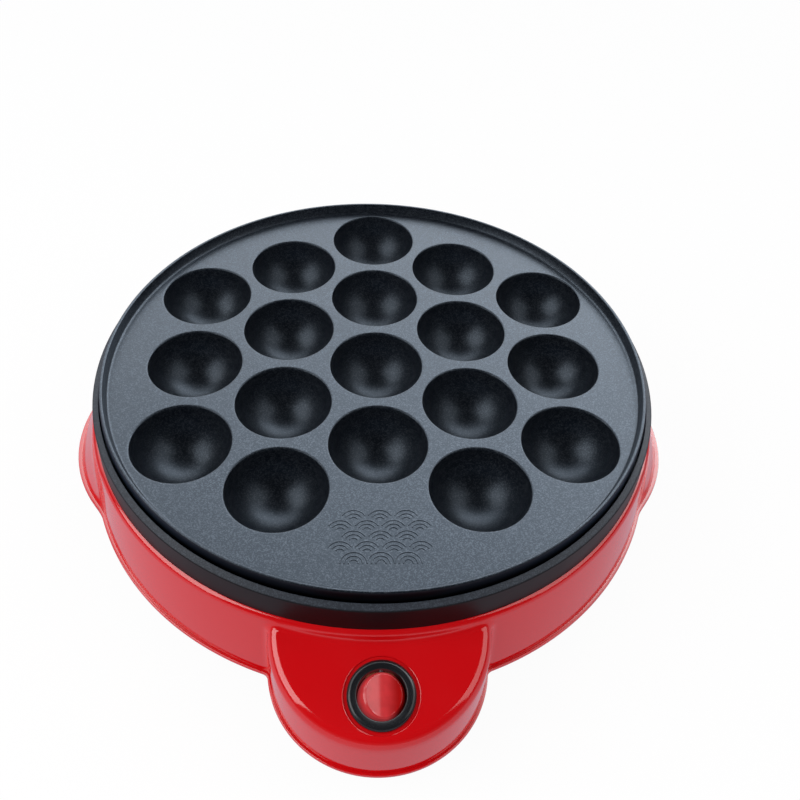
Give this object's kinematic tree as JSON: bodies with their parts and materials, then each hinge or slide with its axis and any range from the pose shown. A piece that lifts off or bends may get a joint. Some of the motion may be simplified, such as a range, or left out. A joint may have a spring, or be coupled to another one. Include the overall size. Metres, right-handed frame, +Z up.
{
  "type": "takoyaki maker",
  "caption": "Electric takoyaki maker: a round cast plate with ball-shaped hollows on a round body with two side grips and a front lobe that holds a round rocker switch.",
  "frame": {"origin": "on the surface it stands on, under the middle of its outline", "axes": "+Z up, front with the switch lobe towards -Y, side grips on +X and -X"},
  "size_m": [0.285, 0.2972, 0.075],
  "materials": {
    "nonstick_cast": "fine sparkling non-stick coat",
    "silicone": "matt",
    "ring_black": "satin, grained on top",
    "red_gloss": "high gloss",
    "pan_black": "fine spark grain",
    "bright_sheet": "bright rolled",
    "plated_steel": "zinc plated",
    "tube_steel": "heat tinted",
    "ceramic": "glazed",
    "sleeve": "woven glass sleeve",
    "block_white": "matt",
    "wire_cover": "matt",
    "bezel_black": "satin",
    "rocker_red": "clear gloss",
    "brass_blade": "bright",
    "lamp_glass": "clear",
    "foot_rubber": "matt"
  },
  "bodies": {
    "base": {"cooking_plate": "nonstick_cast", "plate_gasket": "silicone", "plate_ring": "ring_black", "upper_housing": "red_gloss", "base_pan": "pan_black", "reflector": "bright_sheet", "reflector_spacers": "plated_steel", "plate_screws": "plated_steel", "heating_element": "tube_steel", "element_clamps": "plated_steel", "clamp_screws": "plated_steel", "element_bushes": "ceramic", "thermostat": "ceramic", "thermostat_strap": "plated_steel", "strap_screws": "plated_steel", "thermal_fuse": "sleeve", "fuse_clip": "plated_steel", "fuse_screw": "plated_steel", "terminal_block": "block_white", "block_screws": "plated_steel", "internal_wires": "wire_cover", "cord_bush": "pan_black", "bush_nut": "pan_black", "switch_bezel": "bezel_black", "switch_body": "pan_black", "switch_terminals": "brass_blade", "rocker_pin": "plated_steel", "neon_lamp": "lamp_glass", "feet": "foot_rubber", "foot_screws": "plated_steel", "base_screws": "plated_steel", "earth_tag": "brass_blade", "earth_screw": "plated_steel"},
    "rocker": {"rocker": "rocker_red"},
    "contact_lever": {"contact_lever": "brass_blade"}
  },
  "joints": [
    {"name": "rocker_tilt", "type": "hinge", "parent": "base", "child": "rocker", "pos_m": [0, -0.1291, 0.04462], "axis": [0, -0.9781, -0.2079], "range_deg": [0, 18]},
    {"name": "lever_tilt", "type": "hinge", "parent": "base", "child": "contact_lever", "pos_m": [0, -0.12692, 0.03435], "axis": [0, -0.9781, -0.2079], "range_deg": [-12, 0]}
  ],
  "couplings": [
    {"joint": "lever_tilt", "follows": "rocker_tilt", "ratio": -0.66667}
  ]
}
